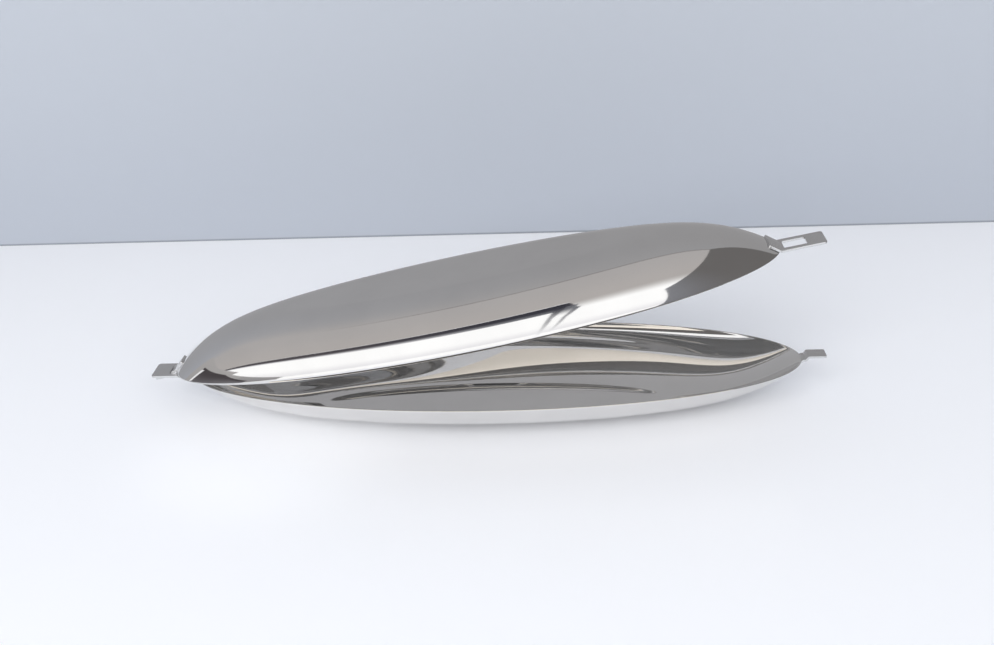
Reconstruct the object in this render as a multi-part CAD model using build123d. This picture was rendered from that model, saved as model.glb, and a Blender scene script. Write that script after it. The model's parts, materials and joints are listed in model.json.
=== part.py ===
"""Fish poacher in polished sheet steel, in millimetres.

Two equal boat-shaped shells close on each other rim to rim. Each shell carries a slotted grip at
one end and a narrow tongue at the other, both bent from strip and welded to the outside of the
wall. The lid is the same part turned over, so each tongue meets the slot of the other shell's
grip. Here the lid is slid back along the lower grip with its tongue hooked through the slot and
under the outer bar, which holds the lid tilted open by itself.

Frame: +X runs along the vessel away from the hooked end, +Z is up, and the origin is the middle
of the flat underside of the lower shell.
"""
from build123d import *
import math
import os

# Shell, the same pressing for the bowl and for the lid
RIM_LENGTH = 500.0
RIM_WIDTH = 150.0
SHELL_DEPTH = 36.0
SHEET = 1.2
FLAT_LENGTH = 252.0
FLAT_WIDTH = 54.0
END_ROUNDNESS = 2.9
SIDE_ROUNDNESS = 1.25
SIDE_UPRIGHTNESS = 1.85

# Strip that both end fittings are bent from
STRIP = 1.8
FLANGE_LENGTH = 13.0
FLANGE_CORNER = 1.6
FOOT_RADIUS = 0.5
BEND_RADIUS = 0.5

# Slotted grip
GRIP_REACH = 32.5
GRIP_WIDTH = 21.5
GRIP_CORNER = 2.2
SLOT_START = 1.0
SLOT_END = 18.4
SLOT_WIDTH = 12.6
SLOT_CORNER = 0.8

# Tongue, sized from the slot that it enters
TONGUE_SIDE_CLEARANCE = 0.35
TONGUE_END_CLEARANCE = 0.5
TONGUE_CORNER = 1.4
JOGGLE_CLEARANCE = 0.2
JOGGLE_ANGLE = 56.0
TONGUE_LIFT = 1.2

# Lid as it stands in the hooked position
LID_TILT = 11.1
SEAT_CLEARANCE = 0.12
HOOK_CLEARANCE = 0.12

RING_COUNT = 11
RING_CROWDING = 1.8
PROFILE_STEPS = 1200

TONGUE_REACH = SLOT_END - TONGUE_END_CLEARANCE
TONGUE_WIDTH = SLOT_WIDTH - 2 * TONGUE_SIDE_CLEARANCE


def contour(depth):
    """Half length and half width of the wall's elliptical contour at a depth below the rim."""
    level = depth / SHELL_DEPTH
    along = FLAT_LENGTH / 2 + (RIM_LENGTH - FLAT_LENGTH) / 2 * (1 - level) ** (1 / END_ROUNDNESS)
    across = FLAT_WIDTH / 2 + (RIM_WIDTH - FLAT_WIDTH) / 2 * (
        1 - level ** SIDE_UPRIGHTNESS
    ) ** (1 / SIDE_ROUNDNESS)
    return along, across


def offset_profile(axis, gap):
    """Depth and half size, shallow to deep, of one principal profile moved out by a gap."""
    depths = [
        SHELL_DEPTH * (1 - (1 - i / PROFILE_STEPS) ** 3) for i in range(PROFILE_STEPS + 1)
    ]
    sizes = [contour(depth)[axis] for depth in depths]
    moved = []
    for i in range(PROFILE_STEPS):
        run = depths[i + 1] - depths[i]
        fall = sizes[i + 1] - sizes[i]
        length = math.hypot(run, fall)
        middle_depth = (depths[i] + depths[i + 1]) / 2
        middle_size = (sizes[i] + sizes[i + 1]) / 2
        moved.append((middle_depth - gap * fall / length, middle_size + gap * run / length))
    moved.append((SHELL_DEPTH + gap, sizes[-1]))
    return moved


def size_at(profile, depth):
    """Half size of a profile at a depth, carried on straight beyond its first point."""
    for (d0, s0), (d1, s1) in zip(profile, profile[1:]):
        if depth <= d1:
            return s0 + (s1 - s0) * (depth - d0) / (d1 - d0)
    return profile[-1][1]


def boat(gap):
    """Solid inside the wall's outer face moved out by a gap, open face up at z = 0."""
    along = offset_profile(0, gap)
    across = offset_profile(1, gap)
    floor = SHELL_DEPTH + gap
    rings = []
    for i in range(RING_COUNT):
        depth = floor * (1 - (1 - i / (RING_COUNT - 1)) ** RING_CROWDING)
        rings.append(
            Pos(0, 0, -depth) * Ellipse(size_at(along, depth), size_at(across, depth))
        )
    return Rot(0, 0, 180) * loft(rings, ruled=True)


def shell(outer, inner):
    """Open shell of even wall, cut level at its rim."""
    return outer - inner


def flange_end():
    """Place on the wall's end profile, in X and depth, where the flange stops."""
    low, high = 0.0, SHELL_DEPTH
    for _ in range(50):
        depth = (low + high) / 2
        if math.hypot(RIM_LENGTH / 2 - contour(depth)[0], depth) < FLANGE_LENGTH:
            low = depth
        else:
            high = depth
    return contour(low)[0], low


def flange(skin, width):
    """Strip of the layer outside the wall, from the rim at +X to a round-cornered end on it."""
    end_x, end_depth = flange_end()
    slope = math.degrees(math.atan2(end_depth, RIM_LENGTH / 2 - end_x))
    reach = FLANGE_LENGTH + 6 * STRIP
    outline = Pos(reach / 2, 0, 0) * RectangleRounded(reach, width, FLANGE_CORNER)
    block = Pos(end_x, 0, -end_depth) * Rot(0, -slope, 0) * extrude(outline, 3 * STRIP, both=True)
    return skin & block


def finish_fitting(strip, outer, skin, width):
    """Join a strip to its flange, seat both on the wall, and round the bend under the strip."""
    fitting = (strip + flange(skin, width)) - outer
    across = [
        edge
        for edge in fitting.edges().filter_by_position(Axis.Z, -STRIP - 0.02, -STRIP + 0.02)
        if abs(edge.tangent_at(0.5).Y) > 0.9
    ]
    return fillet(min(across, key=lambda edge: edge.center().X), FOOT_RADIUS)


def grip(outer, skin):
    """Slotted grip at the +X tip: a plate level with the rim, with a flange down the wall."""
    tip = RIM_LENGTH / 2
    root = 2 * FLANGE_LENGTH
    plate = Pos(tip + (GRIP_REACH - root) / 2, 0, -STRIP / 2) * Box(
        GRIP_REACH + root, GRIP_WIDTH, STRIP
    )
    plate = fillet(plate.edges().filter_by(Axis.Z).group_by(Axis.X)[-1], GRIP_CORNER)
    fitting = finish_fitting(plate, outer, skin, GRIP_WIDTH)
    slot = Pos(tip + (SLOT_START + SLOT_END) / 2, 0, -STRIP) * extrude(
        RectangleRounded(SLOT_END - SLOT_START, SLOT_WIDTH, SLOT_CORNER), 2 * STRIP, both=True
    )
    return fitting - slot


def tongue(outer, skin):
    """Tongue at the +X tip, joggled up close to the rim to enter the mating grip's slot."""
    tip = RIM_LENGTH / 2
    root = tip - 2 * FLANGE_LENGTH
    rise = STRIP + TONGUE_LIFT
    start = tip + SLOT_START + JOGGLE_CLEARANCE
    run = rise / math.tan(math.radians(JOGGLE_ANGLE))
    shift = STRIP * math.tan(math.radians(JOGGLE_ANGLE / 2))
    end = tip + TONGUE_REACH
    corners = [
        (root, 0),
        (start, 0),
        (start + run, rise),
        (end, rise),
        (end, TONGUE_LIFT),
        (start + run + shift, TONGUE_LIFT),
        (start + shift, -STRIP),
        (root, -STRIP),
    ]
    outline = make_face(Polyline(*corners, close=True))
    inner_bends = [v for v in outline.vertices() if near(v, corners[1]) or near(v, corners[5])]
    outline = fillet(inner_bends, BEND_RADIUS)
    outer_bends = [v for v in outline.vertices() if near(v, corners[2]) or near(v, corners[6])]
    outline = fillet(outer_bends, BEND_RADIUS + STRIP)
    strip = extrude(Plane.XZ * outline, TONGUE_WIDTH / 2, both=True)
    strip = fillet(strip.edges().filter_by(Axis.Z).group_by(Axis.X)[-1], TONGUE_CORNER)
    return finish_fitting(strip, outer, skin, TONGUE_WIDTH)


def near(vertex, point):
    """Whether a vertex of a flat outline is the given corner."""
    return math.hypot(vertex.X - point[0], vertex.Y - point[1]) < 1e-6


def hook_shift():
    """How far the lid's tip stands beyond the lower tip when its tongue bears under the bar."""
    tilt = math.radians(LID_TILT)
    drop = (STRIP + SEAT_CLEARANCE) * math.cos(tilt) - TONGUE_LIFT + HOOK_CLEARANCE
    return SLOT_END - drop / math.sin(tilt)


def build():
    """Make every piece in place and return them by node name."""
    outer = boat(0)
    inner = boat(-SHEET)
    skin = boat(STRIP)
    half = shell(outer, inner)
    slotted = Rot(0, 0, 180) * grip(outer, skin)
    plain = tongue(outer, skin)

    lower = Pos(0, 0, SHELL_DEPTH)
    hinge_x = -RIM_LENGTH / 2 - hook_shift()
    lid = (
        Pos(hinge_x, 0, SHELL_DEPTH + SEAT_CLEARANCE)
        * Rot(0, -LID_TILT, 0)
        * Pos(RIM_LENGTH / 2, 0, 0)
        * Rot(0, 180, 0)
    )
    print(f"lid hinge at x {hinge_x:.3f}, z {SHELL_DEPTH + SEAT_CLEARANCE:.3f}")
    return {
        "lower_shell": lower * half,
        "lower_grip": lower * slotted,
        "lower_tongue": lower * plain,
        "lid_shell": lid * half,
        "lid_grip": lid * slotted,
        "lid_tongue": lid * plain,
    }


if __name__ == "__main__":
    os.makedirs("parts", exist_ok=True)
    for name, piece in build().items():
        piece.label = name
        export_step(piece, f"parts/{name}.step")
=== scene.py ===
"""Studio view of a polished steel fish poacher, two equal boat-shaped shells with end fittings.

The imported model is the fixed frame. Both shells are one pressing, so one Geometry Nodes tree
draws that pressing from its wall law, and the lid is the same form turned over onto its hinge.
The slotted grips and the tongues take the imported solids' shape and get eased edges.
"""
from __future__ import annotations

import json
import logging
import math
from dataclasses import dataclass, field
from enum import Enum

import bmesh
import bpy
from mathutils import Matrix, Vector


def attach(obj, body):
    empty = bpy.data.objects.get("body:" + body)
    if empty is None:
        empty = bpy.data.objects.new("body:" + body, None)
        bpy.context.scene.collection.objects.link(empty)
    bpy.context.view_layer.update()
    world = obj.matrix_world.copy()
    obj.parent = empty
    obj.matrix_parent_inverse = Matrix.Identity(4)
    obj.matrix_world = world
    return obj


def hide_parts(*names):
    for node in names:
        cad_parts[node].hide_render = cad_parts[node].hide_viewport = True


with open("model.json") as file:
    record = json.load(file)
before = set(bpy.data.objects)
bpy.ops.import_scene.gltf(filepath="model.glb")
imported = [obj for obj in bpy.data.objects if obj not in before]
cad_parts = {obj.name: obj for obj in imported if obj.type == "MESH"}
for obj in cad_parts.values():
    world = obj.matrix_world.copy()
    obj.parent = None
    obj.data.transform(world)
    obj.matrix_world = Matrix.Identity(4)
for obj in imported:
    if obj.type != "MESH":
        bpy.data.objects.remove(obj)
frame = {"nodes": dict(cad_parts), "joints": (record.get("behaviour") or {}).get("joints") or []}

LOG = logging.getLogger("fish_poacher")
MILLIMETRE = 0.001
TINY = 1e-7
PICTURE_WIDTH = 994.0
SENSOR_WIDTH = 36.0

# Kinds of value: an edge along X is given by its two X values, its Y and its Z
Pair = tuple[float, float]
Point = tuple[float, float, float]
Colour = tuple[float, float, float]
Edge = tuple[float, float, float, float]


class Body(Enum):
    """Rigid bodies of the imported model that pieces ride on."""

    BASE = "base"
    LID = "lid"


class Half(Enum):
    """The two equal halves of the vessel, by the prefix of their nodes."""

    LOWER = "lower"
    LID = "lid"

    @property
    def body(self) -> Body:
        """Body that this half's pieces ride on."""
        return Body.BASE if self is Half.LOWER else Body.LID


class Wire:
    """One value in a node tree, with arithmetic that adds the nodes it needs."""

    def __init__(self, tree: bpy.types.NodeTree, socket: bpy.types.NodeSocket) -> None:
        """Wrap an output socket.

        Args:
            tree: Node tree that the socket belongs to.
            socket: Output socket that carries the value.
        """
        self.tree = tree
        self.socket = socket

    def _math(self, operation: str, *others: Wire | float, clamp: bool = False) -> Wire:
        """Add a Math node with this value as its first input.

        Args:
            operation: Operation of the Math node.
            others: Further inputs, as wires or plain numbers.
            clamp: Whether the result is held between 0 and 1.

        Returns:
            The result as a wire.
        """
        node = self.tree.nodes.new("ShaderNodeMath")
        node.operation = operation
        node.use_clamp = clamp
        self.tree.links.new(self.socket, node.inputs[0])
        for slot, other in enumerate(others, start=1):
            if isinstance(other, Wire):
                self.tree.links.new(other.socket, node.inputs[slot])
            else:
                node.inputs[slot].default_value = other
        return Wire(self.tree, node.outputs[0])

    def __add__(self, other: Wire | float) -> Wire:
        """Sum."""
        return self._math("ADD", other)

    def __sub__(self, other: Wire | float) -> Wire:
        """Difference."""
        return self._math("SUBTRACT", other)

    def __mul__(self, other: Wire | float) -> Wire:
        """Product."""
        return self._math("MULTIPLY", other)

    def __truediv__(self, other: Wire | float) -> Wire:
        """Quotient."""
        return self._math("DIVIDE", other)

    def __pow__(self, other: Wire | float) -> Wire:
        """Power."""
        return self._math("POWER", other)

    def __neg__(self) -> Wire:
        """Opposite."""
        return self._math("MULTIPLY", -1.0)

    def from_one(self) -> Wire:
        """One less this value."""
        return -self + 1.0

    def held(self) -> Wire:
        """This value held between 0 and 1."""
        return self._math("ADD", 0.0, clamp=True)

    def at_least(self, floor: float) -> Wire:
        """This value, but never below a floor."""
        return self._math("MAXIMUM", floor)

    def least(self, other: Wire | float) -> Wire:
        """The smaller of two values."""
        return self._math("MINIMUM", other)

    def cosine(self) -> Wire:
        """Cosine."""
        return self._math("COSINE")

    def sine(self) -> Wire:
        """Sine."""
        return self._math("SINE")

    def root(self) -> Wire:
        """Square root."""
        return self._math("SQRT")

    def smooth_step(self, start: float, end: float) -> Wire:
        """Rise smoothly from 0 to 1 as this value goes from start to end."""
        node = self.tree.nodes.new("ShaderNodeMapRange")
        node.interpolation_type = "SMOOTHSTEP"
        node.inputs["From Min"].default_value = start
        node.inputs["From Max"].default_value = end
        self.tree.links.new(self.socket, node.inputs["Value"])
        return Wire(self.tree, node.outputs["Result"])


def vector_of(x: Wire, y: Wire, z: Wire) -> Wire:
    """Join three values into a vector.

    Args:
        x: First component.
        y: Second component.
        z: Third component.

    Returns:
        The vector as a wire.
    """
    node = x.tree.nodes.new("ShaderNodeCombineXYZ")
    for part, slot in ((x, 0), (y, 1), (z, 2)):
        x.tree.links.new(part.socket, node.inputs[slot])
    return Wire(x.tree, node.outputs[0])


def vector_math(operation: str, first: Wire, second: Wire | None = None,
                scale: Wire | None = None) -> Wire:
    """Add a Vector Math node.

    Args:
        operation: Operation of the node.
        first: First vector.
        second: Second vector, where the operation takes one.
        scale: Factor, where the operation takes one.

    Returns:
        The resulting vector as a wire.
    """
    node = first.tree.nodes.new("ShaderNodeVectorMath")
    node.operation = operation
    first.tree.links.new(first.socket, node.inputs[0])
    if second is not None:
        first.tree.links.new(second.socket, node.inputs[1])
    if scale is not None:
        first.tree.links.new(scale.socket, node.inputs["Scale"])
    return Wire(first.tree, node.outputs[0])


def colour_mix(share: Wire, first: Colour | bpy.types.Node,
               second: Colour | bpy.types.Node) -> bpy.types.Node:
    """Add a Mix node between two colours.

    Args:
        share: Share of the second colour.
        first: First colour, or the Mix node that makes it.
        second: Second colour, or the Mix node that makes it.

    Returns:
        The Mix node.
    """
    mix = share.tree.nodes.new("ShaderNodeMix")
    mix.data_type = "RGBA"
    share.tree.links.new(share.socket, mix.inputs["Factor"])
    for name, colour in (("A", first), ("B", second)):
        if isinstance(colour, tuple):
            mix.inputs[name].default_value = (*colour, 1.0)
        else:
            share.tree.links.new(colour.outputs["Result"], mix.inputs[name])
    return mix


@dataclass(frozen=True)
class Polish:
    """Polished stainless steel, with the wheel marks and pressing waves of its surface.

    Attributes:
        name: Name of the material.
        tint: Linear colour of the steel.
        roughness: Mean roughness of the polish.
        roughness_swing: How far the roughness drifts from place to place.
        roughness_floor: Least roughness anywhere.
        grain: Strength of the fine wheel marks.
        grain_depth: Depth of a wheel mark, in metres.
        grain_scale: How many wheel marks lie in a metre, along and across them.
        wave: Strength of the long waves left by the press.
        wave_depth: Depth of a long wave, in metres.
        wave_scale: How close the long waves lie.
        worn: Brightness of the worn patches against the rest.
        worn_scale: How close the worn patches lie.
        haze: Share of the light that the worn polish scatters.
    """

    name: str
    tint: Colour = (0.74, 0.735, 0.73)
    roughness: float = 0.045
    roughness_swing: float = 0.02
    roughness_floor: float = 0.005
    grain: float = 0.02
    grain_depth: float = 0.00002
    grain_scale: tuple[float, float, float] = (30.0, 1800.0, 1800.0)
    wave: float = 0.05
    wave_depth: float = 0.001
    wave_scale: float = 9.0
    worn: float = 0.965
    worn_scale: float = 26.0
    haze: float = 0.0

    def material(self) -> bpy.types.Material:
        """Make the node material, once.

        Returns:
            The material with this finish.
        """
        found = bpy.data.materials.get(self.name)
        if found:
            return found
        made = bpy.data.materials.new(self.name)
        made.use_nodes = True
        tree = made.node_tree
        tree.nodes.clear()
        out = tree.nodes.new("ShaderNodeOutputMaterial")
        steel = tree.nodes.new("ShaderNodeBsdfPrincipled")
        tree.links.new(steel.outputs[0], out.inputs["Surface"])
        steel.inputs["Metallic"].default_value = 1.0 - self.haze
        place = tree.nodes.new("ShaderNodeTexCoord").outputs["Object"]

        stretch = tree.nodes.new("ShaderNodeMapping")
        stretch.inputs["Scale"].default_value = self.grain_scale
        tree.links.new(place, stretch.inputs["Vector"])
        marks = self._noise(tree, stretch.outputs[0], scale=1.0, detail=3.0)
        drift = self._noise(tree, place, scale=self.worn_scale, detail=4.0)
        press = self._noise(tree, place, scale=self.wave_scale, detail=0.5)

        rough = (drift - 0.5) * (2.0 * self.roughness_swing) + self.roughness
        rough = rough + (marks - 0.5) * self.roughness_swing
        tree.links.new(rough.at_least(self.roughness_floor).socket, steel.inputs["Roughness"])

        dull = tuple(self.worn * part for part in self.tint)
        colour = colour_mix(drift.smooth_step(0.3, 0.7), dull, self.tint)
        tree.links.new(colour.outputs["Result"], steel.inputs["Base Color"])

        fine = self._bump(tree, marks, self.grain_depth, self.grain)
        wavy = self._bump(tree, press, self.wave_depth, self.wave)
        tree.links.new(fine.outputs[0], wavy.inputs["Normal"])
        tree.links.new(wavy.outputs[0], steel.inputs["Normal"])
        return made

    @staticmethod
    def _noise(tree: bpy.types.NodeTree, place: bpy.types.NodeSocket, scale: float,
               detail: float) -> Wire:
        """Add a noise texture.

        Args:
            tree: Node tree of the material.
            place: Coordinates that the noise follows.
            scale: Scale of the noise.
            detail: Levels of finer noise.

        Returns:
            The noise value as a wire.
        """
        node = tree.nodes.new("ShaderNodeTexNoise")
        node.inputs["Scale"].default_value = scale
        node.inputs["Detail"].default_value = detail
        tree.links.new(place, node.inputs["Vector"])
        return Wire(tree, node.outputs["Fac"])

    @staticmethod
    def _bump(tree: bpy.types.NodeTree, height: Wire, distance: float,
              strength: float) -> bpy.types.Node:
        """Add a bump from a height.

        Args:
            tree: Node tree of the material.
            height: Height of the surface, from 0 to 1.
            distance: Depth of a full height, in metres.
            strength: Strength of the bump.

        Returns:
            The Bump node.
        """
        node = tree.nodes.new("ShaderNodeBump")
        node.inputs["Distance"].default_value = distance
        node.inputs["Strength"].default_value = strength
        tree.links.new(height.socket, node.inputs["Height"])
        return node


OUTER_POLISH = Polish("outer_polish")
INNER_MIRROR = Polish(
    "inner_mirror", roughness=0.02, roughness_swing=0.01, grain=0.005, wave=0.04, haze=0.1)
STRIP_SATIN = Polish(
    "strip_satin", tint=(0.68, 0.68, 0.685), roughness=0.24, roughness_swing=0.05, grain=0.25,
    grain_scale=(120.0, 2600.0, 2600.0), wave=0.02)


@dataclass
class Pressing:
    """The shell pressing, in millimetres, with its rim plane at z = 0 and its mouth upwards.

    Attributes:
        rim_length: Length of the elliptical rim.
        rim_width: Width of that rim.
        depth: Depth from the rim plane to the flat underside.
        sheet: Thickness of the sheet.
        flat_length: Length of the flat at the bottom.
        flat_width: Width of the flat at the bottom.
        end_roundness: Exponent that rounds the end walls into the flat.
        side_roundness: Exponent that rounds the side walls into the flat.
        side_uprightness: Exponent that stands the side walls upright at the rim.
        around: Steps round the rim.
        wall_rings: Rings from the flat to the rim.
        floor_rings: Rings across the flat.
        lip_rings: Rings round the lip of the rim.
        ring_crowding: Exponent that crowds the wall's rings towards the flat.
        seam_join: Distance under which points of the drawing are joined, in metres.
    """

    rim_length: float = 500.0
    rim_width: float = 150.0
    depth: float = 36.0
    sheet: float = 1.2
    flat_length: float = 252.0
    flat_width: float = 54.0
    end_roundness: float = 2.9
    side_roundness: float = 1.25
    side_uprightness: float = 1.85
    around: int = 320
    wall_rings: int = 72
    floor_rings: int = 6
    lip_rings: int = 8
    ring_crowding: float = 2.2
    seam_join: float = 0.5e-6

    def sizes(self) -> dict[str, float]:
        """Named inputs of the tree, with lengths as half sizes in metres."""
        return {
            "Half Length": self.rim_length / 2 * MILLIMETRE,
            "Half Width": self.rim_width / 2 * MILLIMETRE,
            "Depth": self.depth * MILLIMETRE,
            "Half Sheet": self.sheet / 2 * MILLIMETRE,
            "Flat Half Length": self.flat_length / 2 * MILLIMETRE,
            "Flat Half Width": self.flat_width / 2 * MILLIMETRE,
            "End Roundness": self.end_roundness,
            "Side Roundness": self.side_roundness,
            "Side Uprightness": self.side_uprightness,
        }

    def tree(self) -> bpy.types.NodeTree:
        """Build the Geometry Nodes tree that draws the wall, its lip and its inside as one skin.

        Returns:
            The node tree, with one named input for each size.
        """
        tree = bpy.data.node_groups.new("shell_pressing", "GeometryNodeTree")
        given = self._inputs(tree)
        size = {name: Wire(tree, given.outputs[name]) for name in self.sizes()}
        rings = 2 * (self.floor_rings + self.wall_rings) + self.lip_rings
        grid = tree.nodes.new("GeometryNodeMeshGrid")
        grid.inputs["Vertices X"].default_value = self.around + 1
        grid.inputs["Vertices Y"].default_value = rings + 1
        grid.inputs["Size X"].default_value = 1.0
        grid.inputs["Size Y"].default_value = 1.0
        place = tree.nodes.new("ShaderNodeSeparateXYZ")
        tree.links.new(tree.nodes.new("GeometryNodeInputPosition").outputs[0], place.inputs[0])
        turn = (Wire(tree, place.outputs["X"]) + 0.5) * math.tau
        step = (Wire(tree, place.outputs["Y"]) + 0.5) * float(rings)
        skin = self._skin(size, turn, step, rings)
        side = self._inside(step, rings / 2)
        tree.links.new(grid.outputs["Mesh"], side.inputs["Geometry"])
        move = tree.nodes.new("GeometryNodeSetPosition")
        tree.links.new(skin.socket, move.inputs["Position"])
        merge = tree.nodes.new("GeometryNodeMergeByDistance")
        merge.inputs["Distance"].default_value = self.seam_join
        smooth = tree.nodes.new("GeometryNodeSetShadeSmooth")
        dress = tree.nodes.new("GeometryNodeSetMaterial")
        line = tree.nodes.new("GeometryNodeSetMaterial")
        inner = tree.nodes.new("GeometryNodeInputNamedAttribute")
        inner.data_type = "FLOAT"
        inner.inputs["Name"].default_value = "inside"
        out = tree.nodes.new("NodeGroupOutput")
        tree.links.new(given.outputs["Outer Finish"], dress.inputs["Material"])
        tree.links.new(given.outputs["Inner Finish"], line.inputs["Material"])
        tree.links.new(inner.outputs["Attribute"], line.inputs["Selection"])
        chain = (side, move, merge, smooth, dress, line, out)
        for before, after in zip(chain, chain[1:]):
            tree.links.new(before.outputs[0], after.inputs[0])
        return tree

    def _inputs(self, tree: bpy.types.NodeTree) -> bpy.types.Node:
        """Give the tree its sockets: the sizes, the two finishes and the drawn mesh.

        Args:
            tree: The new tree.

        Returns:
            The node that hands them on.
        """
        tree.interface.new_socket("Geometry", in_out="INPUT", socket_type="NodeSocketGeometry")
        for name, value in self.sizes().items():
            socket = tree.interface.new_socket(name, in_out="INPUT", socket_type="NodeSocketFloat")
            socket.default_value = value
        for name in ("Outer Finish", "Inner Finish"):
            tree.interface.new_socket(name, in_out="INPUT", socket_type="NodeSocketMaterial")
        tree.interface.new_socket("Geometry", in_out="OUTPUT", socket_type="NodeSocketGeometry")
        return tree.nodes.new("NodeGroupInput")

    @staticmethod
    def _inside(step: Wire, middle: float, blur: float = 0.01) -> bpy.types.Node:
        """Mark the faces that lie inside the vessel.

        Args:
            step: Ring of the point.
            middle: Ring at the top of the lip.
            blur: How far from it the mark changes over, in rings.

        Returns:
            The node that stores the mark.
        """
        side = step.tree.nodes.new("GeometryNodeStoreNamedAttribute")
        side.data_type, side.domain = "FLOAT", "FACE"
        side.inputs["Name"].default_value = "inside"
        inward = step.smooth_step(middle - blur, middle + blur)
        step.tree.links.new(inward.socket, side.inputs["Value"])
        return side

    def _skin(self, size: dict[str, Wire], turn: Wire, step: Wire, rings: int) -> Wire:
        """Place of each point, counted round the vessel and from the outer floor to the inner.

        Args:
            size: The tree's size inputs by name.
            turn: Angle of the point round the vessel.
            step: Ring of the point, from the outer floor over the lip to the inner floor.
            rings: Number of rings.

        Returns:
            The point's place as a vector wire.
        """
        cosine, sine = turn.cosine(), turn.sine()
        mirrored = step.least(-step + float(rings))
        floor = (mirrored / float(self.floor_rings)).held()
        climb = ((mirrored - float(self.floor_rings)) / float(self.wall_rings)).held()
        lip_start = float(self.floor_rings + self.wall_rings)
        lip = ((step - lip_start) / float(self.lip_rings)).held() * math.pi

        end_fall = (size["Half Length"] - size["Flat Half Length"]) / (
            size["End Roundness"] * size["Depth"])
        side_fall = (size["Half Width"] - size["Flat Half Width"]) * size["Side Uprightness"] / (
            size["Side Roundness"] * size["Depth"])
        along = cosine / size["Half Length"]
        across = sine / size["Half Width"]
        dive = cosine * along * end_fall
        rim_normal = -dive / (along * along + across * across + dive * dive).root()
        rim_depth = size["Half Sheet"] * rim_normal.from_one()

        depth = rim_depth + (size["Depth"] - rim_depth) * (climb ** self.ring_crowding).from_one()
        level = depth / size["Depth"]
        left = level.from_one().at_least(TINY)
        side_left = (level.at_least(0.0) ** size["Side Uprightness"]).from_one().at_least(TINY)
        end_share = left ** (size["End Roundness"] ** -1.0)
        side_share = side_left ** (size["Side Roundness"] ** -1.0)
        half_long = size["Flat Half Length"] + (
            size["Half Length"] - size["Flat Half Length"]) * end_share
        half_wide = size["Flat Half Width"] + (
            size["Half Width"] - size["Flat Half Width"]) * side_share

        end_slope = end_fall * end_share / left
        side_slope = side_fall * (level.at_least(0.0) ** (size["Side Uprightness"] - 1.0)) * (
            side_share / side_left)
        down = cosine * cosine * end_slope / half_long + sine * sine * side_slope / half_wide
        outward = vector_math("NORMALIZE", vector_of(cosine / half_long, sine / half_wide, -down))
        ring = vector_math(
            "NORMALIZE", vector_of(-sine * half_long, cosine * half_wide, cosine * 0.0))
        upward = vector_math("CROSS_PRODUCT", outward, ring)

        spot = vector_of(half_long * cosine * floor, half_wide * sine * floor, -depth)
        inset = size["Half Sheet"] * (lip.cosine() - 1.0)
        spot = vector_math("ADD", spot, vector_math("SCALE", outward, scale=inset))
        rise = size["Half Sheet"] * lip.sine()
        return vector_math("ADD", spot, vector_math("SCALE", upward, scale=rise))

    def mesh(self, name: str, outer: Polish, inner: Polish) -> bpy.types.Object:
        """Evaluate the tree once into a plain mesh object.

        Args:
            name: Name of the new object.
            outer: Finish of the outside and of half the lip.
            inner: Finish of the inside.

        Returns:
            The object, in the pressing's own place.
        """
        carrier = bpy.data.objects.new(name + "_drawing", bpy.data.meshes.new(name + "_drawing"))
        bpy.context.scene.collection.objects.link(carrier)
        tree = self.tree()
        modifier = carrier.modifiers.new("pressing", "NODES")
        modifier.node_group = tree
        given = dict(self.sizes())
        given["Outer Finish"], given["Inner Finish"] = outer.material(), inner.material()
        for item in tree.interface.items_tree:
            if item.item_type == "SOCKET" and item.name in given:
                modifier[item.identifier] = given[item.name]
        bpy.context.view_layer.update()
        graph = bpy.context.evaluated_depsgraph_get()
        mesh = bpy.data.meshes.new_from_object(carrier.evaluated_get(graph))
        mesh.name = name
        bpy.data.objects.remove(carrier)
        piece = bpy.data.objects.new(name, mesh)
        bpy.context.scene.collection.objects.link(piece)
        return piece


@dataclass
class Shell:
    """One half's shell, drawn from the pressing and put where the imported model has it.

    Attributes:
        half: Which half of the vessel this is.
        pressing: Sizes of the pressing.
        tilt: Tilt of the hooked lid, in degrees.
        outer: Finish of the outside.
        inner: Finish of the inside.
    """

    half: Half
    pressing: Pressing = field(default_factory=Pressing)
    tilt: float = 11.1
    outer: Polish = OUTER_POLISH
    inner: Polish = INNER_MIRROR

    def place(self) -> Matrix:
        """Matrix from the pressing's own place to its place on the vessel."""
        if self.half is Half.LOWER:
            return Matrix.Translation((0.0, 0.0, self.pressing.depth * MILLIMETRE))
        hinge = Vector(next(j for j in frame["joints"] if j["name"] == "lid_hinge")["pos_m"])
        half_length = self.pressing.rim_length / 2 * MILLIMETRE
        return (
            Matrix.Translation(hinge)
            @ Matrix.Rotation(math.radians(-self.tilt), 4, "Y")
            @ Matrix.Translation((half_length, 0.0, 0.0))
            @ Matrix.Rotation(math.pi, 4, "Y")
        )

    def build(self) -> bpy.types.Object:
        """Draw the shell and join it to the frame.

        Returns:
            The finished shell.
        """
        piece = self.pressing.mesh(f"{self.half.value}_shell_skin", self.outer, self.inner)
        piece.data.transform(self.place())
        piece.data.update()
        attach(piece, self.half.body.value)
        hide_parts(f"{self.half.value}_shell")
        LOG.info("%s: %d faces on body %s", piece.name, len(piece.data.polygons),
                 self.half.body.value)
        return piece


class Fitting(Enum):
    """Kinds of end fitting, by the suffix of their nodes."""

    GRIP = "grip"
    TONGUE = "tongue"


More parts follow.
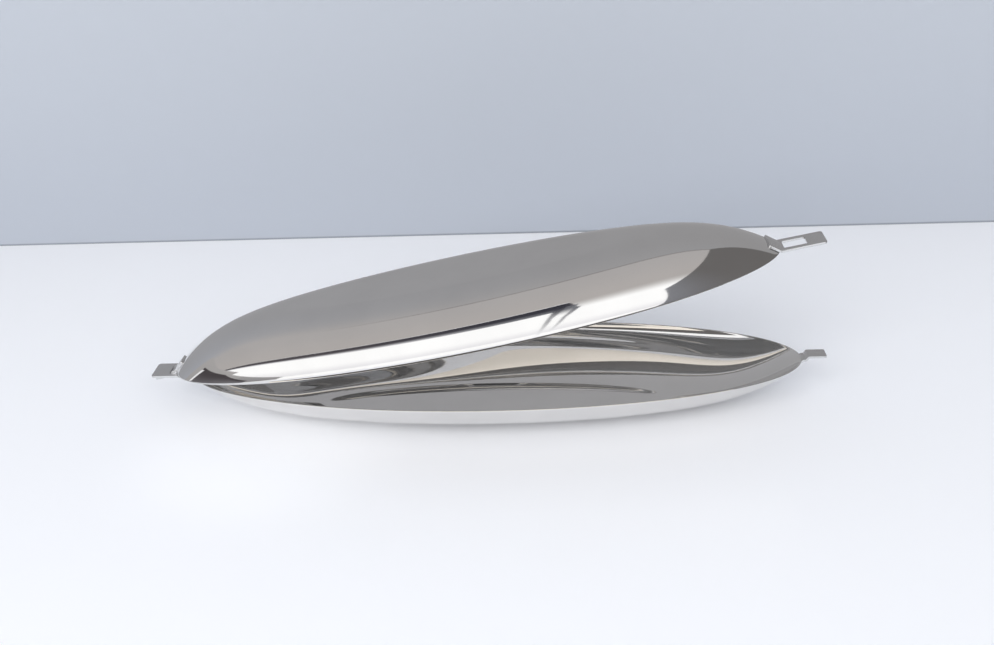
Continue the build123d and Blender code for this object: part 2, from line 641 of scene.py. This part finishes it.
@dataclass
class EndFitting:
    """A bent strip at one end of a half, with its edges eased.

    Attributes:
        half: Which half of the vessel carries it.
        kind: Whether it is the slotted grip or the plain tongue.
        ease: Radius of the eased edges, in millimetres.
        ease_steps: Steps round each eased edge.
        ease_from: Least angle between two faces whose edge is eased, in degrees.
        facet_angle: Angle up to which neighbouring facets are joined, in degrees.
        point_join: Distance under which points of the strip are joined, in metres.
        finish: Finish of the strip.
    """

    half: Half
    kind: Fitting
    ease: float = 0.28
    ease_steps: int = 3
    ease_from: float = 28.0
    facet_angle: float = 0.6
    point_join: float = 2e-6
    finish: Polish = STRIP_SATIN

    @property
    def node(self) -> str:
        """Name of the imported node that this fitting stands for."""
        return f"{self.half.value}_{self.kind.value}"

    def build(self) -> bpy.types.Object:
        """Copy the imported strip, merge it, ease its edges and join it to the frame.

        Returns:
            The finished fitting.
        """
        source = frame["nodes"][self.node]
        mesh = source.data.copy()
        mesh.name = f"{self.node}_strip"
        work = bmesh.new()
        work.from_mesh(mesh)
        bmesh.ops.remove_doubles(work, verts=work.verts[:], dist=self.point_join)
        bmesh.ops.dissolve_limit(work, angle_limit=math.radians(self.facet_angle),
                                 verts=work.verts[:], edges=work.edges[:])
        for face in work.faces:
            face.smooth = True
        work.to_mesh(mesh)
        work.free()
        mesh.materials.clear()
        mesh.materials.append(self.finish.material())
        piece = bpy.data.objects.new(mesh.name, mesh)
        bpy.context.scene.collection.objects.link(piece)
        bevel = piece.modifiers.new("eased_edges", "BEVEL")
        bevel.width = self.ease * MILLIMETRE
        bevel.segments = self.ease_steps
        bevel.limit_method = "ANGLE"
        bevel.angle_limit = math.radians(self.ease_from)
        bevel.harden_normals = True
        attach(piece, self.half.body.value)
        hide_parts(self.node)
        LOG.info("%s: %d faces on body %s", piece.name, len(mesh.polygons), self.half.body.value)
        return piece


@dataclass
class Vessel:
    """The whole poacher: two equal halves, each a shell with a grip and a tongue."""

    pressing: Pressing = field(default_factory=Pressing)

    def build(self) -> list[bpy.types.Object]:
        """Build every piece of both halves.

        Returns:
            The finished pieces.
        """
        made: list[bpy.types.Object] = []
        for half in Half:
            made.append(Shell(half, self.pressing).build())
            for kind in Fitting:
                made.append(EndFitting(half, kind).build())
        return made


def flat_sheet(name: str, corners: tuple[Point, ...]) -> bpy.types.Object:
    """Add a flat four-cornered sheet of the stage.

    Args:
        name: Name of the sheet.
        corners: Its corners in order, in metres.

    Returns:
        The sheet.
    """
    mesh = bpy.data.meshes.new(name)
    mesh.from_pydata(list(corners), [], [(0, 1, 2, 3)])
    sheet = bpy.data.objects.new(name, mesh)
    bpy.context.scene.collection.objects.link(sheet)
    return sheet


@dataclass(frozen=True)
class Panel:
    """One flat reflector or screen of the studio, seen only in the steel's polish.

    Attributes:
        name: Name of the panel.
        corners: Its corners in order, in metres.
        near: Linear colour at its first edge.
        far: Linear colour at the opposite edge.
        fade: Where the colour starts and stops changing, as shares from first to opposite edge.
        near_end: Linear colour at the far end of the first edge, where it differs.
        far_end: Linear colour at the far end of the opposite edge, where it differs.
        spread: Where the colour starts and stops changing along the edges.
    """

    name: str
    corners: tuple[Point, ...]
    near: Colour
    far: Colour
    fade: Pair = (0.0, 1.0)
    near_end: Colour | None = None
    far_end: Colour | None = None
    spread: Pair = (0.0, 1.0)

    def build(self) -> None:
        """Build the panel with its own glow."""
        panel = flat_sheet(self.name, self.corners)
        layer = panel.data.uv_layers.new(name="across")
        for loop, spot in zip(layer.data, ((0.0, 0.0), (1.0, 0.0), (1.0, 1.0), (0.0, 1.0))):
            loop.uv = spot
        paint = bpy.data.materials.new(self.name)
        paint.use_nodes = True
        tree = paint.node_tree
        tree.nodes.clear()
        out = tree.nodes.new("ShaderNodeOutputMaterial")
        glow = tree.nodes.new("ShaderNodeEmission")
        split = tree.nodes.new("ShaderNodeSeparateXYZ")
        tree.links.new(tree.nodes.new("ShaderNodeUVMap").outputs[0], split.inputs[0])
        across = Wire(tree, split.outputs["Y"]).smooth_step(*self.fade)
        along = Wire(tree, split.outputs["X"]).smooth_step(*self.spread)
        start = colour_mix(across, self.near, self.far)
        end = colour_mix(across, self.near_end or self.near, self.far_end or self.far)
        whole = colour_mix(along, start, end)
        tree.links.new(whole.outputs["Result"], glow.inputs["Color"])
        tree.links.new(glow.outputs[0], out.inputs["Surface"])
        panel.data.materials.append(paint)
        panel.visible_camera = False
        panel.visible_diffuse = False
        panel.visible_shadow = False
        panel.visible_transmission = False


def strip(first: Edge, second: Edge) -> tuple[Point, ...]:
    """Corners of a panel between two edges that run along X.

    Args:
        first: First edge, as its two X values, its Y and its Z, in metres.
        second: Opposite edge in the same way.

    Returns:
        The four corners in order.
    """
    start, end, y, z = first
    last_start, last_end, last_y, last_z = second
    return (start, y, z), (end, y, z), (last_end, last_y, last_z), (last_start, last_y, last_z)


def upright(near: Pair, far: Pair, near_top: float,
            far_top: float, foot: float = 0.0) -> tuple[Point, ...]:
    """Corners of a standing panel, along its top from its near end and back along its foot.

    Args:
        near: Place of its first end on the ground, in metres.
        far: Place of its second end on the ground, in metres.
        near_top: Height of its first end, in metres.
        far_top: Height of its second end, in metres.
        foot: Height of its foot, in metres.

    Returns:
        The four corners in order.
    """
    return (*near, near_top), (*far, far_top), (*far, foot), (*near, foot)


class Tone:
    """Linear colours that several panels share."""

    BEIGE: Colour = (0.53, 0.51, 0.505)
    WARM: Colour = (0.57, 0.54, 0.525)
    WHITE: Colour = (1.36, 1.36, 1.36)
    SKY: Colour = (1.13, 1.12, 1.15)
    PALE: Colour = (1.1, 1.1, 1.12)
    GREY: Colour = (0.50, 0.50, 0.52)
    SHADE: Colour = (0.445, 0.46, 0.50)
    CLAY: Colour = (0.44, 0.43, 0.43)
    MIST: Colour = (0.41, 0.41, 0.43)
    SLATE: Colour = (0.20, 0.205, 0.23)
    GLOOM: Colour = (0.085, 0.075, 0.08)
    DARK: Colour = (0.05, 0.05, 0.065)


@dataclass
class Reflections:
    """Panels round the vessel that stand for what the steel mirrors of its room.

    Attributes:
        left: Place of the left screen, in metres.
        right: Where the lit panels end on the right, in metres.
        back: Place of the wall screen, in metres.
        lit: Place of the lit panels in front of the vessel, in metres.
        ceiling: Height of the ceiling screen, in metres.
        ceiling_front: Where the ceiling screen ends towards the viewer, in metres.
        ceiling_slant: How far that end comes back towards the wall for each metre to the right.
        gap: How far bars, the painted shadow gap and posts stand off the screens behind them, in
            metres.
        side: Place of the dark side screen, in metres.
        side_front: Where the side screen ends towards the viewer, in metres.
        light_edge: Where the overhead light ends and the soft light begins, in metres.
        bar_start: Where the left and middle bars start towards the wall, in metres.
        sill: Height where the window light ends, in metres.
        card_ends: Left and right end of the two cards in front of the bowl, in metres.
        card_place: Place of the cards in front of the bowl, in metres.
        card_split: Height of the line between the two cards at their ends, in metres.
        wing: Places of the left wing's three ends on the ground, in metres.
        wing_top: Height of the left wing, in metres.
        door: Places of the doorway's three ends on the ground, in metres.
        door_top: Height of the doorway at its middle end, in metres.
    """

    left: float = -5.5
    right: float = 3.5
    back: float = 0.367
    lit: float = -2.2
    ceiling: float = 2.26
    ceiling_front: float = -0.735
    ceiling_slant: float = 0.085
    gap: float = 0.01
    side: float = 0.86
    side_front: float = -1.65
    light_edge: float = -0.19
    bar_start: float = -1.0
    sill: float = 0.40
    card_ends: Pair = (-0.20, 0.23)
    card_place: float = -0.09
    card_split: Pair = (0.046, 0.080)
    wing: tuple[Pair, ...] = ((-1.355, 0.177), (-2.177, -1.138), (-2.218, -2.141))
    wing_top: float = 0.627
    door: tuple[Pair, ...] = ((-1.289, 0.035), (-1.605, -0.517), (-2.10, -1.40))
    door_top: float = 0.49

    def panels(self) -> list[Panel]:
        """Every panel, from the screens round to the left side.

        Returns:
            The panels.
        """
        return [*self._screens(), *self._bars(), *self._lights(), *self._near(), *self._left()]

    def _front(self, x: float, beyond: float = 0.0, drop: float = 0.0) -> Point:
        """Point on the front edge of the ceiling screen.

        Args:
            x: Place along the vessel, in metres.
            beyond: How far past the edge, towards the viewer, in metres.
            drop: How far below the ceiling, in metres.

        Returns:
            The point.
        """
        return x, self.ceiling_front + self.ceiling_slant * x - beyond, self.ceiling - drop

    def _screens(self) -> list[Panel]:
        """Wall and ceiling, the painted shadow gap between them and the dark edge where the ceiling
        ends.
        """
        left, side, back, top = self.left, self.side, self.back, self.ceiling
        low, front = top - self.gap, self._front
        return [
            Panel("wall_screen", strip((left, side, back, top), (left, side, back, 0.0)),
                  Tone.BEIGE, Tone.SHADE, fade=(0.1, 0.8), near_end=(0.39, 0.39, 0.40),
                  far_end=(0.375, 0.37, 0.375), spread=(0.49, 1.0)),
            Panel("ceiling_screen", ((left, back, top), (side, back, top), front(side), front(left)),
                  Tone.BEIGE, Tone.WARM),
            # Painted shadow gap: a dark strip where the wall meets the ceiling
            Panel("ceiling_shadow_gap", ((-1.9, back, low), (-1.9, back - 0.02, low),
                                   (side, back - 0.03, low), (side, back, low)),
                  Tone.BEIGE, (0.28, 0.26, 0.26), fade=(0.0, 0.4)),
            Panel("ceiling_edge", (front(left, 0.0, self.gap), front(self.light_edge, 0.02, self.gap),
                                   (-0.06, -1.27, low), front(left, 0.30, self.gap)),
                  (0.10, 0.09, 0.10), Tone.SKY, fade=(0.35, 1.0), near_end=Tone.DARK,
                  far_end=Tone.SLATE, spread=(0.6, 1.0)),
        ]

    def _bars(self) -> list[Panel]:
        """Three bars under the lit ceiling, and the two posts that carry them on downwards."""
        start, lit, top = self.bar_start, self.lit, self.ceiling
        low, rail = top - self.gap, lit + self.gap
        return [
            Panel("bar_left", strip((-0.26, -0.18, start, low), (-0.24, -0.20, lit, low)),
                  Tone.DARK, Tone.MIST, fade=(0.0, 0.7)),
            Panel("bar_middle", strip((-0.18, -0.10, start, low), (-0.20, -0.10, lit, low)),
                  Tone.SLATE, Tone.WHITE, fade=(0.1, 0.7)),
            Panel("bar_right", strip((-0.11, -0.05, start - 0.22, low), (-0.09, -0.05, lit, low)),
                  Tone.SLATE, Tone.MIST, fade=(0.0, 0.7)),
            Panel("post_left", strip((-0.24, -0.19, rail, top), (0.09, 0.11, rail, 0.15)),
                  Tone.MIST, Tone.PALE),
            Panel("post_right", strip((-0.09, -0.05, rail, top), (0.14, 0.16, rail, 0.3)),
                  Tone.MIST, Tone.PALE),
        ]

    def _lights(self) -> list[Panel]:
        """Lit panels over and in front of the vessel, with the line of the sill."""
        left, right, side, edge = self.left, self.right, self.side, self.light_edge
        lit, top, sill, front = self.lit, self.ceiling, self.sill, self._front
        return [
            Panel("overhead_light", (front(left), front(edge), (edge, lit, top), (left, lit, top)),
                  Tone.SKY, Tone.WHITE, fade=(0.0, 0.3)),
            Panel("soft_light", (front(edge), front(side), (side, lit, top), (edge, lit, top)),
                  Tone.WARM, Tone.WHITE, fade=(0.0, 0.5)),
            Panel("corner_light", strip((side, right, -1.3, top), (side, right, lit, top)),
                  Tone.WHITE, Tone.WHITE),
            Panel("window_light", strip((left, right, lit, top), (left, right, lit, sill)),
                  Tone.WHITE, Tone.SKY, fade=(0.4, 1.0)),
            Panel("sill_line", ((left, lit, sill - 0.04), (left, lit, sill),
                                (-0.6, lit, sill), (-0.6, lit, sill - 0.04)),
                  Tone.GREY, Tone.WHITE, fade=(0.5, 1.0)),
            Panel("sill_light", strip((left, right, lit, sill), (left, right, lit, -0.6)),
                  Tone.WHITE, Tone.WHITE),
        ]

    def _near(self) -> list[Panel]:
        """Dark screen on the right, and the two cards that the inside of the bowl mirrors."""
        start, end = self.card_ends
        y, (start_split, end_split) = self.card_place, self.card_split
        return [
            Panel("side_screen", ((self.side, self.side_front, 0.0),
                                  (self.side, self.side_front, self.ceiling),
                                  (self.side, self.back, self.ceiling), (self.side, self.back, 0.0)),
                  (0.27, 0.275, 0.30), (0.18, 0.172, 0.17), fade=(0.0, 0.6)),
            Panel("dark_card", ((start, y, start_split), (end, y, end_split),
                                (end, y, 0.130), (start, y, 0.048)),
                  (0.10, 0.09, 0.085), (0.15, 0.145, 0.14)),
            Panel("warm_card", ((start, y, 0.037), (end, y, 0.037),
                                (end, y, end_split), (start, y, start_split)),
                  (1.05, 0.98, 0.88), (1.42, 1.32, 1.18), fade=(0.0, 0.8)),
        ]

    def _left(self) -> list[Panel]:
        """Far screen on the left, the wing before it, and the doorway with its bright post."""
        left, wing, door = self.left, self.wing, self.door
        return [
            Panel("left_screen", upright((left, self.lit), (left, self.back),
                                         self.ceiling, self.ceiling),
                  Tone.BEIGE, Tone.SHADE, fade=(0.1, 0.8)),
            Panel("left_wing", upright(wing[0], wing[1], self.wing_top, self.wing_top),
                  (0.50, 0.485, 0.48), Tone.CLAY),
            Panel("left_wing_end", upright(wing[1], wing[2], self.wing_top, 0.365),
                  Tone.CLAY, (0.35, 0.34, 0.35)),
            Panel("doorway", upright(door[0], door[1], 0.415, self.door_top, foot=-0.1),
                  Tone.GLOOM, (0.20, 0.19, 0.205), fade=(0.1, 0.8)),
            Panel("doorway_end", upright(door[1], door[2], self.door_top, 0.2, foot=-0.1),
                  Tone.GLOOM, (0.22, 0.21, 0.225), fade=(0.1, 0.8)),
            Panel("door_post", upright((-1.262, 0.030), (-1.275, -0.018), 0.36, 0.37, foot=0.05),
                  Tone.PALE, Tone.PALE),
        ]


@dataclass(frozen=True)
class Lamp:
    """Soft round lamp that lights the stage but isn't mirrored by the steel.

    Attributes:
        name: Name of the lamp.
        place: Its place, in metres.
        size: Width of its face, in metres.
        power: Its power, in watts.
        target: Point that it faces, in metres.
    """

    name: str
    place: Point
    size: float
    power: float
    target: Point = (0.0, 0.0, 0.0)

    def _source(self) -> bpy.types.Light:
        """Light of a flat round face."""
        source = bpy.data.lights.new(self.name, "AREA")
        source.shape = "DISK"
        source.size = self.size
        return source

    def build(self) -> None:
        """Put the lamp in its place."""
        source = self._source()
        source.energy = self.power
        lamp = bpy.data.objects.new(self.name, source)
        lamp.location = self.place
        aim = Vector(self.target) - Vector(self.place)
        lamp.rotation_euler = aim.to_track_quat("-Z", "Y").to_euler()
        lamp.visible_glossy = False
        bpy.context.scene.collection.objects.link(lamp)


@dataclass(frozen=True)
class PoolLamp(Lamp):
    """Lamp that lays a soft-edged pool of light on the table, past whatever stands between.

    Attributes:
        cone: Width of its cone, in degrees.
    """

    cone: float = 42.0

    def _source(self) -> bpy.types.Light:
        """Light of a wide soft cone that casts no shadow."""
        source = bpy.data.lights.new(self.name, "SPOT")
        source.shadow_soft_size = self.size / 2
        source.use_shadow = False
        source.spot_size = math.radians(self.cone)
        source.spot_blend = 1.0
        return source


LAMPS = (
    Lamp("daylight", (-1.2, -2.6, 1.7), size=2.4, power=60.0),
    Lamp("fill", (1.4, -2.2, 1.75), size=2.2, power=22.0),
    PoolLamp("pool", (-0.18, -0.10, 0.35), size=0.06, power=0.5, target=(-0.18, -0.06, 0.0)),
)


@dataclass
class Studio:
    """White table, pale blue-grey wall, soft daylight and what the steel mirrors of the room.

    Attributes:
        wall_left: Where the foot of the wall passes the left of the picture, in metres.
        wall_right: Where it passes the right of the picture, in metres.
        wall_overrun: How far the wall runs on past both, as a share of the way between them.
        wall_height: Height of the wall, in metres.
        wall_shaded_low: Linear colour of the wall near its foot, with painted shade.
        wall_lit_high: Linear colour of the wall higher up, painted lighter where more light falls.
        wall_rise: Height up to which the painted shade gives way to the lighter colour, in metres.
        foot_shadow: Linear colour of the painted shadow line at the wall's foot, where the table
            meets it.
        foot_shadow_top: Heights between which that painted shadow line gives way to the wall, in
            metres.
        table_front: How far the table reaches in front of the vessel, in metres.
        table_reach: How far it reaches to either side and to the back, in metres.
        table_colour: Linear colour of the table.
        room_colour: Linear colour of the room's even light.
        room_strength: Strength of the room's even light.
    """

    wall_left: Pair = (-0.5986, 0.3721)
    wall_right: Pair = (0.5381, 0.3617)
    wall_overrun: float = 0.8
    wall_height: float = 2.26
    # Painted shade: the wall is darker near its foot and lighter higher up
    wall_shaded_low: Colour = (0.42, 0.45, 0.505)
    wall_lit_high: Colour = (0.455, 0.485, 0.535)
    wall_rise: float = 0.3
    # Painted shadow line at the wall's foot, where the table meets it
    foot_shadow: Colour = (0.27, 0.29, 0.32)
    foot_shadow_top: Pair = (0.0014, 0.0026)
    table_front: float = 1.0
    table_reach: float = 2.6
    table_colour: Colour = (0.905, 0.912, 0.935)
    room_colour: Colour = (0.86, 0.87, 0.9)
    room_strength: float = 0.75

    def build(self) -> None:
        """Build the table, the wall, the panels and the lamps."""
        self._table()
        self._wall()
        self._world()
        for panel in Reflections().panels():
            panel.build()
        for lamp in LAMPS:
            lamp.build()

    def _wall_point(self, share: float) -> Pair:
        """Point on the foot of the wall, a share of the way from left to right."""
        left, right = Vector(self.wall_left), Vector(self.wall_right)
        spot = left + (right - left) * share
        return spot.x, spot.y

    def _table(self) -> None:
        """White table top, from its front edge to behind the wall's foot."""
        front, reach = -self.table_front, self.table_reach
        table = flat_sheet("table", strip((-reach, reach, front, 0.0), (-reach, reach, reach, 0.0)))
        shader = self._painted(table, roughness=0.35)
        shader.inputs["Base Color"].default_value = (*self.table_colour, 1.0)

    def _wall(self) -> None:
        """Pale blue-grey wall, with painted shade towards its foot and a painted shadow line along
        it, that only shows from its front.
        """
        left, right = self._wall_point(-self.wall_overrun), self._wall_point(1 + self.wall_overrun)
        top = self.wall_height
        wall = flat_sheet("wall", ((*left, 0.0), (*right, 0.0), (*right, top), (*left, top)))
        wall.visible_glossy = False
        shader = self._painted(wall, roughness=0.9)
        tree = shader.id_data
        split = tree.nodes.new("ShaderNodeSeparateXYZ")
        tree.links.new(tree.nodes.new("ShaderNodeTexCoord").outputs["Object"], split.inputs[0])
        height = Wire(tree, split.outputs["Z"])
        # Painted shade: the wall's colour darkens towards its foot
        paint = colour_mix(height.smooth_step(0.0, self.wall_rise), self.wall_shaded_low, self.wall_lit_high)
        # Painted shadow line where the wall meets the table, over the wall's painted shade
        whole = colour_mix(height.smooth_step(*self.foot_shadow_top), self.foot_shadow, paint)
        tree.links.new(whole.outputs["Result"], shader.inputs["Base Color"])
        clear = tree.nodes.new("ShaderNodeBsdfTransparent")
        choose = tree.nodes.new("ShaderNodeMixShader")
        tree.links.new(tree.nodes.new("ShaderNodeNewGeometry").outputs["Backfacing"],
                       choose.inputs[0])
        tree.links.new(shader.outputs[0], choose.inputs[1])
        tree.links.new(clear.outputs[0], choose.inputs[2])
        out = next(node for node in tree.nodes if node.type == "OUTPUT_MATERIAL")
        tree.links.new(choose.outputs[0], out.inputs["Surface"])

    @staticmethod
    def _painted(sheet: bpy.types.Object, roughness: float) -> bpy.types.Node:
        """Give a sheet a plain paint.

        Args:
            sheet: The sheet to paint.
            roughness: Roughness of the paint.

        Returns:
            The paint's shader node.
        """
        paint = bpy.data.materials.new(sheet.name)
        paint.use_nodes = True
        shader = paint.node_tree.nodes["Principled BSDF"]
        shader.inputs["Roughness"].default_value = roughness
        shader.inputs["Specular IOR Level"].default_value = 0.2
        sheet.data.materials.append(paint)
        return shader

    def _world(self) -> None:
        """Even pale room light, which also shows where the camera looks past the stage."""
        world = bpy.data.worlds.new("room")
        bpy.context.scene.world = world
        world.use_nodes = True
        tree = world.node_tree
        tree.nodes.clear()
        out = tree.nodes.new("ShaderNodeOutputWorld")
        back = tree.nodes.new("ShaderNodeBackground")
        back.inputs["Color"].default_value = (*self.room_colour, 1.0)
        back.inputs["Strength"].default_value = self.room_strength
        tree.links.new(back.outputs[0], out.inputs["Surface"])


@dataclass
class PhotoCamera:
    """Camera at the photograph's viewing angle, fitted to the outlines of rims and fittings.

    Attributes:
        focal_pixels: Focal length in pixels of the photograph.
        pitch: Downward tilt, in degrees.
        roll: Turn of the frame about the line of sight, in degrees.
        yaw: Turn of the vessel about the upright, in degrees.
        shift: Place of the rim's centre across and up the view, in metres.
        distance: Distance of the rim's centre along the line of sight, in metres.
        rim_height: Height of the rim's centre over the table, in metres.
    """

    focal_pixels: float = 1071.8
    pitch: float = 26.854
    roll: float = 2.961
    yaw: float = -3.640
    shift: Pair = (-0.00494, -0.03284)
    distance: float = 0.87822
    rim_height: float = 0.036

    def build(self) -> None:
        """Create the camera and make it the scene's."""
        pitch, roll = math.radians(self.pitch), math.radians(self.roll)
        turn = Matrix.Rotation(math.radians(-self.yaw), 3, "Z")
        right = Vector((1.0, 0.0, 0.0))
        ahead = Vector((0.0, math.cos(pitch), -math.sin(pitch)))
        upward = Vector((0.0, math.sin(pitch), math.cos(pitch)))
        spot = -self.shift[0] * right - self.distance * ahead - self.shift[1] * upward
        level_right = math.cos(roll) * right - math.sin(roll) * upward
        level_up = math.sin(roll) * right + math.cos(roll) * upward
        axes = [turn @ level_right, turn @ level_up, turn @ -ahead]
        place = turn @ spot + Vector((0.0, 0.0, self.rim_height))
        data = bpy.data.cameras.new("photo_view")
        data.sensor_width = SENSOR_WIDTH
        data.lens = self.focal_pixels * SENSOR_WIDTH / PICTURE_WIDTH
        data.clip_start = 0.01
        camera = bpy.data.objects.new("photo_view", data)
        camera.matrix_world = Matrix.Translation(place) @ Matrix(axes).transposed().to_4x4()
        bpy.context.scene.collection.objects.link(camera)
        bpy.context.scene.camera = camera


def main() -> None:
    """Build the camera, the stage and the vessel, and log how many pieces were built."""
    logging.basicConfig(level=logging.INFO, format="%(name)s %(message)s")
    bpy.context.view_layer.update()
    bpy.context.scene.view_settings.view_transform = "Standard"
    PhotoCamera().build()
    Studio().build()
    pieces = Vessel().build()
    LOG.info("built %d pieces", len(pieces))


if __name__ == "__main__":
    main()
